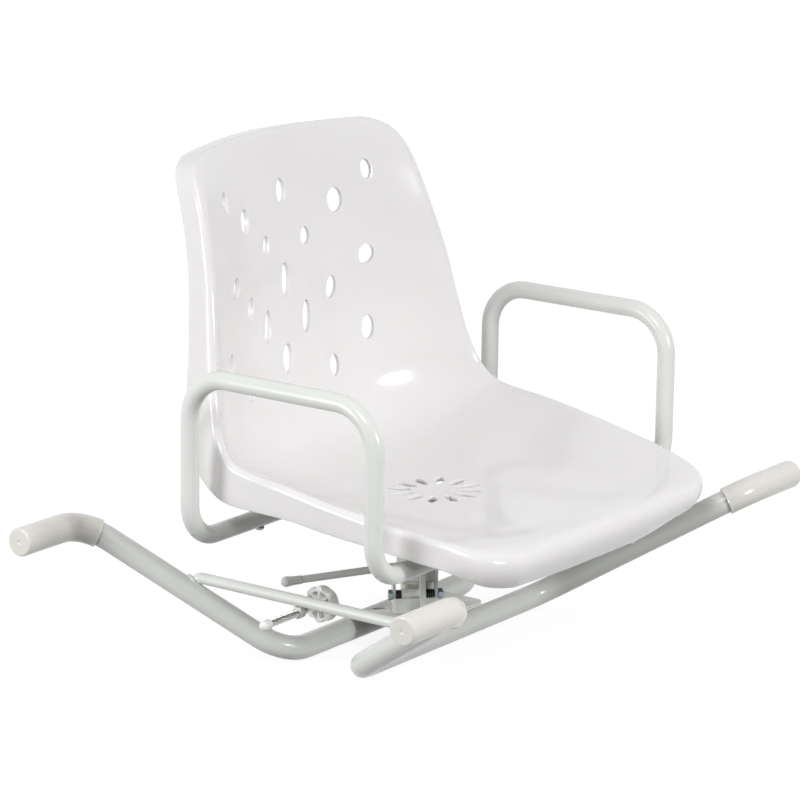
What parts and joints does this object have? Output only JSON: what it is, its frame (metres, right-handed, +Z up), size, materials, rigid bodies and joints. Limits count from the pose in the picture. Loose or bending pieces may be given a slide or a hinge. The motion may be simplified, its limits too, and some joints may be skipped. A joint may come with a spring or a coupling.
{
  "type": "swivel bath seat",
  "caption": "Moulded bucket seat with armrests that turns on a lockable post, carried across a bath by bent rails with sleeved ends and screw clamps.",
  "frame": {"origin": "on the swivel axis, in the plane that the undersides of the rails' bottom sections touch", "axes": "+Z up along the swivel axis; +X across the bath, towards the sitter's left; the sitter faces -Y with the seat at rest"},
  "size_m": [0.72, 0.5072, 0.5186],
  "materials": {
    "white_epoxy": "gloss epoxy powder coat on steel",
    "seat_plastic": "glossy moulded polypropylene",
    "grip_plastic": "smooth soft plastic",
    "plated_steel": "bright plated thread",
    "zinc_steel": "zinc plated",
    "nylon": "natural nylon",
    "black_plastic": "black plastic",
    "spring_steel": "dark spring wire"
  },
  "bodies": {
    "frame": {"rail_front": "white_epoxy", "rail_rear": "white_epoxy", "grip_front_right": "grip_plastic", "grip_front_left": "grip_plastic", "grip_rear_right": "grip_plastic", "grip_rear_left": "grip_plastic", "cross_rod_right": "white_epoxy", "cross_rod_left": "white_epoxy", "clamp_nut_right": "white_epoxy", "clamp_nut_left": "white_epoxy", "base_plate": "white_epoxy", "swivel_post": "white_epoxy", "post_cap": "zinc_steel", "bush_lower": "nylon", "bush_upper": "nylon", "thrust_washer": "nylon", "king_washer": "zinc_steel", "king_bolt": "zinc_steel", "king_nut": "zinc_steel"},
    "seat": {"swivel_hub": "white_epoxy", "turn_plate": "white_epoxy", "armrest_tube_right": "white_epoxy", "armrest_tube_left": "white_epoxy", "seat_shell": "seat_plastic", "seat_screw_front_right": "zinc_steel", "seat_screw_front_left": "zinc_steel", "seat_screw_rear_right": "zinc_steel", "seat_screw_rear_left": "zinc_steel", "lock_bracket": "white_epoxy", "lock_pivot_bolt": "zinc_steel", "lock_pivot_nut": "zinc_steel", "lock_spacer": "black_plastic", "lock_spring": "spring_steel"},
    "latch": {"lock_latch": "white_epoxy", "lock_lever": "white_epoxy", "lock_lever_cap": "grip_plastic"},
    "clamp_tip_right": {"clamp_tip_right": "grip_plastic"},
    "clamp_tip_left": {"clamp_tip_left": "grip_plastic"},
    "clamp_screw_right": {"clamp_screw_right": "plated_steel", "clamp_knob_right": "grip_plastic"},
    "clamp_screw_left": {"clamp_screw_left": "plated_steel", "clamp_knob_left": "grip_plastic"}
  },
  "joints": [
    {"name": "seat_swivel", "type": "hinge", "parent": "frame", "child": "seat", "pos_m": [0, 0, 0], "axis": [0, 0, 1], "continuous": true},
    {"name": "latch_lift", "type": "hinge", "parent": "seat", "child": "latch", "pos_m": [-0.01768, -0.01768, 0.052], "axis": [-0.7071, 0.7071, 0], "range_deg": [-15, 0], "stiffness_Nm_per_rad": 0.08, "springref_deg": -51.57},
    {"name": "clamp_travel_right", "type": "slide", "parent": "frame", "child": "clamp_tip_right", "axis": [-1, 0, 0], "range_m": [-0.0443, 0.0141]},
    {"name": "clamp_turn_right", "type": "hinge", "parent": "clamp_tip_right", "child": "clamp_screw_right", "pos_m": [-0.20498, 0, 0.0742], "axis": [-1, 0, 0], "range_deg": [-12720, 4032]},
    {"name": "clamp_travel_left", "type": "slide", "parent": "frame", "child": "clamp_tip_left", "axis": [1, 0, 0], "range_m": [-0.0443, 0.0141]},
    {"name": "clamp_turn_left", "type": "hinge", "parent": "clamp_tip_left", "child": "clamp_screw_left", "pos_m": [0.20498, 0, 0.0742], "axis": [1, 0, 0], "range_deg": [-12720, 4032]}
  ],
  "couplings": [
    {"joint": "clamp_travel_right", "follows": "clamp_turn_right", "m_per_rad": 0.00019894},
    {"joint": "clamp_travel_left", "follows": "clamp_turn_left", "m_per_rad": 0.00019894}
  ]
}
